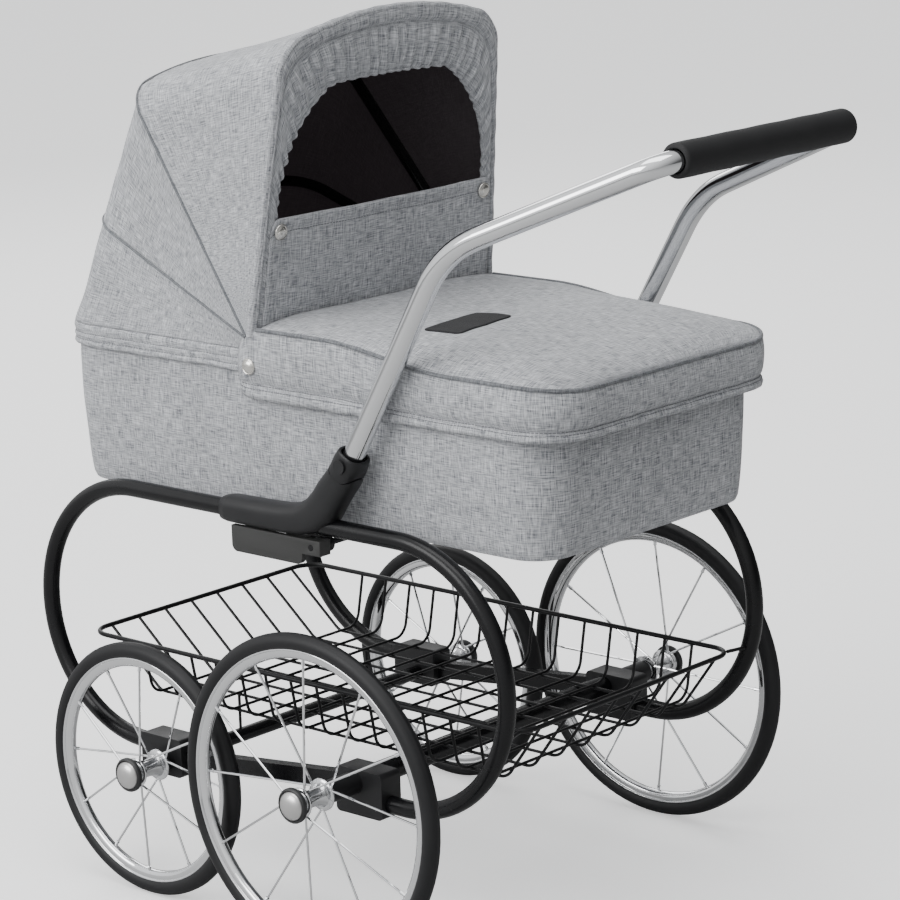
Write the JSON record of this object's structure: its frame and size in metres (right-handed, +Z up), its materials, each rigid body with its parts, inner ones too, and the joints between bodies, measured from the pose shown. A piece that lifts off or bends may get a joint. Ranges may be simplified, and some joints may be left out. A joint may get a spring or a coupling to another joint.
{
  "type": "doll pram",
  "caption": "Classic pram on wire wheels with a tube frame, wire basket, lift-off fabric cot, apron, folding hood and push handle.",
  "frame": {"origin": "on the ground under the middle of the whole pram", "axes": "+X towards the person who pushes, +Y to the pusher's right as they face the pram's head at -X, +Z up"},
  "size_m": [0.642, 0.477, 0.7098],
  "materials": {
    "tyre_rubber": "matt solid rubber",
    "chrome": "bright plated",
    "cap_metal": "spun dome in a black ring",
    "black_paint": "satin powder coat",
    "black_wire": "satin powder coat on wire",
    "black_plastic": "fine moulded texture",
    "grey_plastic": "matt dark grey",
    "steel": "turned",
    "grip_foam": "closed-cell foam",
    "grey_fabric": "grey melange weave",
    "lining": "black cotton",
    "board": "hardboard",
    "snap_metal": "polished domed snap"
  },
  "bodies": {
    "chassis": {"side_loop_left": "black_paint", "side_loop_right": "black_paint", "lower_rail_left": "black_paint", "lower_rail_right": "black_paint", "front_axle_blocks": "black_plastic", "rear_axle_blocks": "black_plastic", "front_axle": "steel", "rear_axle": "steel", "axle_tubes": "black_paint", "axle_spacers": "black_plastic", "elbow_left": "black_plastic", "elbow_right": "black_plastic", "elbow_plates": "grey_plastic", "tie_rod": "black_paint", "cross_bars": "black_paint", "handle_pivot_pins": "steel", "basket_rim": "black_wire", "basket_long_wires": "black_wire", "basket_cross_wires": "black_wire"},
    "wheel_front_left": {"front_left_tyre": "tyre_rubber", "front_left_rim": "chrome", "front_left_spokes": "chrome", "front_left_hub": "chrome", "front_left_cap": "cap_metal"},
    "wheel_front_right": {"front_right_tyre": "tyre_rubber", "front_right_rim": "chrome", "front_right_spokes": "chrome", "front_right_hub": "chrome", "front_right_cap": "cap_metal"},
    "wheel_rear_left": {"rear_left_tyre": "tyre_rubber", "rear_left_rim": "chrome", "rear_left_spokes": "chrome", "rear_left_hub": "chrome", "rear_left_cap": "cap_metal"},
    "wheel_rear_right": {"rear_right_tyre": "tyre_rubber", "rear_right_rim": "chrome", "rear_right_spokes": "chrome", "rear_right_hub": "chrome", "rear_right_cap": "cap_metal"},
    "handle": {"handle_end_plugs": "black_plastic", "handle_tube": "chrome", "handle_grip": "grip_foam"},
    "cot": {"cot_shell": "grey_fabric", "cot_base_board": "board", "mattress": "lining", "cot_rim_frame": "steel", "apron": "grey_fabric", "hood_skirt": "grey_fabric", "cot_snaps": "snap_metal", "hood_panel_back": "grey_fabric", "hood_brackets": "black_plastic", "hood_pivot_pins": "steel"},
    "hood_back": {"hood_bow_back": "black_wire", "hood_panel_middle": "grey_fabric"},
    "hood_middle": {"hood_bow_middle": "black_wire", "hood_panel_front": "grey_fabric"},
    "hood_front": {"hood_bow_front": "black_wire", "hood_valance": "grey_fabric", "storm_flap": "grey_fabric", "flap_snaps": "snap_metal"}
  },
  "joints": [
    {"name": "front_left_spin", "type": "hinge", "parent": "chassis", "child": "wheel_front_left", "pos_m": [-0.17475, -0.186, 0.105], "axis": [0, 1, 0], "continuous": true},
    {"name": "front_right_spin", "type": "hinge", "parent": "chassis", "child": "wheel_front_right", "pos_m": [-0.17475, 0.186, 0.105], "axis": [0, 1, 0], "continuous": true},
    {"name": "rear_left_spin", "type": "hinge", "parent": "chassis", "child": "wheel_rear_left", "pos_m": [0.03475, -0.2125, 0.13], "axis": [0, 1, 0], "continuous": true},
    {"name": "rear_right_spin", "type": "hinge", "parent": "chassis", "child": "wheel_rear_right", "pos_m": [0.03475, 0.2125, 0.13], "axis": [0, 1, 0], "continuous": true},
    {"name": "handle_fold", "type": "hinge", "parent": "chassis", "child": "handle", "pos_m": [0.0335, 0, 0.38], "axis": [0, 1, 0], "range_deg": [0, 50]},
    {"name": "cot_lift", "type": "slide", "parent": "chassis", "child": "cot", "axis": [0, 0, 1], "range_m": [0, 0.06]},
    {"name": "hood_back_fold", "type": "hinge", "parent": "cot", "child": "hood_back", "pos_m": [-0.082, 0, 0.462], "axis": [0, -1, 0], "range_deg": [0, 10.05], "deforming": ["hood_panel_back", "hood_panel_middle"]},
    {"name": "hood_middle_fold", "type": "hinge", "parent": "hood_back", "child": "hood_middle", "pos_m": [-0.082, 0, 0.462], "axis": [0, -1, 0], "range_deg": [0, 21.05], "deforming": ["hood_panel_front"]},
    {"name": "hood_fold", "type": "hinge", "parent": "hood_middle", "child": "hood_front", "pos_m": [-0.082, 0, 0.462], "axis": [0, -1, 0], "range_deg": [0, 36.5]}
  ],
  "couplings": [
    {"joint": "hood_back_fold", "follows": "hood_fold", "ratio": 0.27397},
    {"joint": "hood_middle_fold", "follows": "hood_fold", "ratio": 0.57534}
  ]
}
